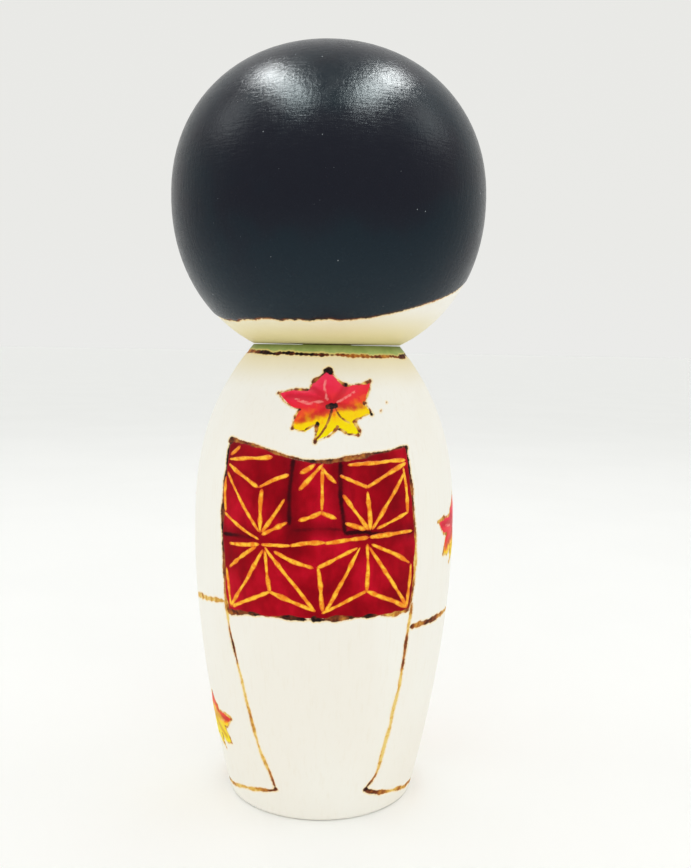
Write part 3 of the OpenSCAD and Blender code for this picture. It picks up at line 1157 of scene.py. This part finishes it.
def painted_head_material():
    paint = Paint("painted_head_wood", Specular_IOR_Level=0.12)
    colour, grain, bare = pale_wood(paint)
    # Painted shade and warm bounce light: the head's underside turns yellower towards the seam, over the
    # body's shoulders.
    painted_warm_bounce_shade = paint.by_height(SEAM_H, SEAM_H + 8, 0.8, 0)
    colour = paint.mix(painted_warm_bounce_shade, colour, (230, 214, 142))
    colour = paint.mix(paint.math("MULTIPLY", paint.attribute("blush"), 0.5), colour, (240, 170, 150))
    colour, _ = burn_over(paint, colour, paint.drift(1.6, 0.25, 0.75, -0.1, 0.1))
    roughness = paint.drift(0.3, 0.3, 0.7, 0.4, 0.5)
    roughness = paint.math("MULTIPLY_ADD", bare, 0.2, roughness)
    return paint.finish(colour, roughness, paint.bump(grain, 0.012, 0.5))


def hair_material():
    """Black lacquer, brushed on by hand: navy and teal in places, with a painted reflection of the table
    in lighter teal low down, finely crazed, lightly dusty.
    """
    paint = Paint("black_lacquer", Specular_IOR_Level=0.1, Specular_Tint=(0.84, 1.0, 1.0, 1.0))
    cloud = paint.noise(0.05, 3)
    colour = paint.mix(paint.step(cloud, 0.4, 0.6), (25, 25, 35), (21, 31, 40))
    # Painted reflection: the lacquer turns lighter teal low down, where it mirrors the pale table.
    low = paint.by_height(SEAM_H + 2, SEAM_H + 26, 1, 0)
    colour = paint.mix(low, colour, (35, 45, 53))
    edge = paint.step(paint.attribute("edge"), 0.0, 0.6, 0.6, 0)
    colour = paint.mix(edge, colour, (56, 26, 22))
    specks = paint.node("TexVoronoi", {"Vector": paint.in_mm(), "Scale": 0.6, "Randomness": 1.0})
    pick = paint.node("SeparateColor", {0: specks.outputs["Color"]}).outputs[0]
    patches = paint.step(paint.noise(0.07, 2), 0.41, 0.52)
    size = paint.math("MULTIPLY", paint.step(pick, 0.6, 1.0, 0.02, 0.075), patches)
    dust = paint.math("LESS_THAN", specks.outputs["Distance"], size)
    colour = paint.mix(dust, colour, (150, 156, 160))
    brushed = paint.noise(1.5, 4, (1, 1, 0.2), 0.65)
    ringed = paint.noise(1.4, 4, (0.25, 0.25, 1.3), 0.65)
    roughness = paint.drift(0.5, 0.3, 0.7, 0.22, 0.28)
    normal = paint.bump(brushed, 0.07, 0.8)
    normal = paint.bump(ringed, 0.07, 0.8, normal)
    return paint.finish(colour, roughness, normal)


def gold_material():
    paint = Paint("yellow_paint", Specular_IOR_Level=0.15)
    body = paint.attribute("core")
    dab = paint.noise(0.75, 3, (1, 1, 1), 0.6)
    edge = paint.mix(paint.step(dab, 0.35, 0.65), (206, 72, 16), (232, 118, 24))
    middle = paint.mix(paint.step(dab, 0.38, 0.62), (240, 134, 22), (255, 200, 52))
    colour = paint.mix(paint.step(body, 0.2, 1.0), edge, middle)
    roughness = paint.step(dab, 0.3, 0.7, 0.38, 0.5)
    return paint.finish(colour, roughness, paint.bump(paint.noise(2.0, 3), 0.02, 0.5))


def brush_material(name, painted_crease_shade, light, roughness):
    """Opaque brush paint that varies a little between two colours."""
    paint = Paint(name, Specular_IOR_Level=0.25)
    patch = paint.noise(0.6, 3)
    colour = paint.mix(paint.step(patch, 0.35, 0.65), painted_crease_shade, light)
    shine = paint.step(patch, 0.3, 0.7, roughness, roughness + 0.1)
    return paint.finish(colour, shine, paint.bump(paint.noise(2.5, 3), 0.015, 0.4))


def dowel_material():
    paint = Paint("dowel_wood")
    grain = paint.noise(1.2, 5, (1, 1, 0.05), 0.6)
    pores = paint.noise(3.5, 2, (1, 1, 0.08))
    colour = paint.mix(paint.step(grain, 0.35, 0.68), (228, 201, 152), (196, 158, 104))
    colour = paint.mix(paint.step(pores, 0.62, 0.72, 0, 0.5), colour, (150, 112, 68))
    return paint.finish(colour, paint.step(grain, 0.3, 0.7, 0.5, 0.65), paint.bump(grain, 0.04, 0.6))


# ---------------------------------------------------------------- the setting, in metres

DOLL_MIDDLE = Vector((0, 0, 0.08))

# The photograph's camera: its focal length over its picture's height, its place and its angles
FOCAL_OVER_HEIGHT = 925 / 868
CAMERA_PLACE = (0.0, 0.190, 0.0906)
PITCH, YAW, ROLL = math.radians(5.19), math.radians(1.24), math.radians(1.0)


def make_floor():
    """A pale table top, wide enough to reach the horizon."""
    def ring(radius, angles):
        return np.stack([radius * np.cos(angles), -radius * np.sin(angles), 0 * angles], -1)

    bm = grid_mesh(ring, [0.05, 0.1, 0.2, 0.4, 0.8, 1.6, 4.0, 12.0, 40.0], 64)
    bm.verts.ensure_lookup_table()
    bm.faces.new(bm.verts[:64][::-1])
    mesh = bpy.data.meshes.new("floor")
    bm.to_mesh(mesh)
    bm.free()
    paint = Paint("white_table", Specular_IOR_Level=0.2)
    cloud = paint.step(paint.noise(0.01, 2), 0.4, 0.6)
    colour = paint.mix(cloud, (247, 247, 245), (248, 248, 246))
    mesh.materials.append(paint.finish(colour, paint.step(paint.noise(0.1, 2), 0.3, 0.7, 0.6, 0.7)))
    floor = bpy.data.objects.new("floor", mesh)
    bpy.context.scene.collection.objects.link(floor)


def make_world():
    world = bpy.data.worlds.new("studio")
    world.use_nodes = True
    bpy.context.scene.world = world
    tree = world.node_tree
    background = tree.nodes["Background"]
    place = tree.nodes.new("ShaderNodeTexCoord")
    split = tree.nodes.new("ShaderNodeSeparateXYZ")
    ramp = tree.nodes.new("ShaderNodeValToRGB")
    tree.links.new(place.outputs["Generated"], split.inputs[0])
    tree.links.new(split.outputs["Z"], ramp.inputs[0])
    tree.links.new(ramp.outputs[0], background.inputs["Color"])
    set_stops(ramp, [(0.0, (235, 235, 233)), (0.12, (234, 234, 231)), (0.35, (233, 233, 230)),
                     (0.55, (240, 241, 240)), (1.0, (248, 249, 248))])


def round_doll(bearing, elevation, distance):
    """A place in metres round the doll's middle, at a bearing from its back to its right hand."""
    a, e = math.radians(bearing), math.radians(elevation)
    direction = (-math.sin(a) * math.cos(e), math.cos(a) * math.cos(e), math.sin(e))
    return DOLL_MIDDLE + distance * Vector(direction)


def soft_box(name, place, size, power, turn=None, diffuse=True, glossy=True):
    """A rectangular lamp aimed at the doll, or straight down and turned by some degrees."""
    light = bpy.data.lights.new(name, "AREA")
    light.shape = "RECTANGLE"
    light.size, light.size_y = size
    light.energy = power
    obj = bpy.data.objects.new(name, light)
    obj.location = place
    if turn is None:
        obj.rotation_euler = (DOLL_MIDDLE - Vector(place)).to_track_quat("-Z", "Y").to_euler()
    else:
        obj.rotation_euler = (0, 0, math.radians(turn))
    obj.visible_diffuse, obj.visible_glossy, obj.visible_camera = diffuse, glossy, False
    bpy.context.scene.collection.objects.link(obj)
    return light


def make_lights():
    """Weak fills all round, one lamp overhead, and four that only shine in the lacquer."""
    for k in range(6):
        fill = soft_box(f"fill_{k}", round_doll(30 + 60 * k, 24, 1.2), (0.6, 0.6), 0.12, glossy=False)
        fill.spread = math.radians(60)
    soft_box("overhead", round_doll(0, 89, 0.6), (0.3, 0.3), 0.15, glossy=False)
    for side in (-1, 1):
        soft_box(f"side_shine_{side}", round_doll(87 * side, 41, 0.7), (0.24, 0.24), 0.75, diffuse=False)
        soft_box(f"top_shine_{side}", (0.237 * side, 0.085, 0.7), (0.1, 0.54), 10.8, 12 * side,
                 diffuse=False)


def make_camera():
    """Where the photograph was taken from: behind the doll, level with its neck, looking down."""
    camera = bpy.data.cameras.new("camera")
    camera.sensor_fit = "VERTICAL"
    camera.sensor_height = 24.0
    camera.lens = 24.0 * FOCAL_OVER_HEIGHT
    camera.clip_start, camera.clip_end = 0.01, 100.0
    obj = bpy.data.objects.new("camera", camera)
    bpy.context.scene.collection.objects.link(obj)
    obj.location = CAMERA_PLACE
    turn = Matrix.Rotation(math.pi - YAW, 4, "Z")
    tilt = Matrix.Rotation(math.pi / 2 - PITCH, 4, "X")
    obj.rotation_euler = (turn @ tilt @ Matrix.Rotation(ROLL, 4, "Z")).to_euler()
    bpy.context.scene.camera = obj


# ---------------------------------------------------------------- the whole doll

make_world()
make_floor()
make_lights()
make_camera()
bpy.context.scene.view_settings.view_transform = "Standard"

make_body(painted_body_material())
make_head(painted_head_material())
make_hair(hair_material())
raised_strokes("sash_pattern", hemp_strokes(), gold_material(), "body")
ink, brown, red = face_strokes()
black_ink = brush_material("ink", (22, 20, 24), (34, 30, 32), 0.32)
brown_ink = brush_material("brown_ink", (118, 66, 40), (146, 86, 52), 0.45)
lip_red = brush_material("lip_red", (176, 24, 38), (200, 34, 46), 0.35)
raised_strokes("brows_and_eyes", ink, black_ink, "head", 0.08)
raised_strokes("nose_and_lids", brown, brown_ink, "head", 0.05)
raised_strokes("mouth", red, lip_red, "head", 0.08)

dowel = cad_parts["neck_dowel"]
dowel.data.materials.clear()
dowel.data.materials.append(dowel_material())
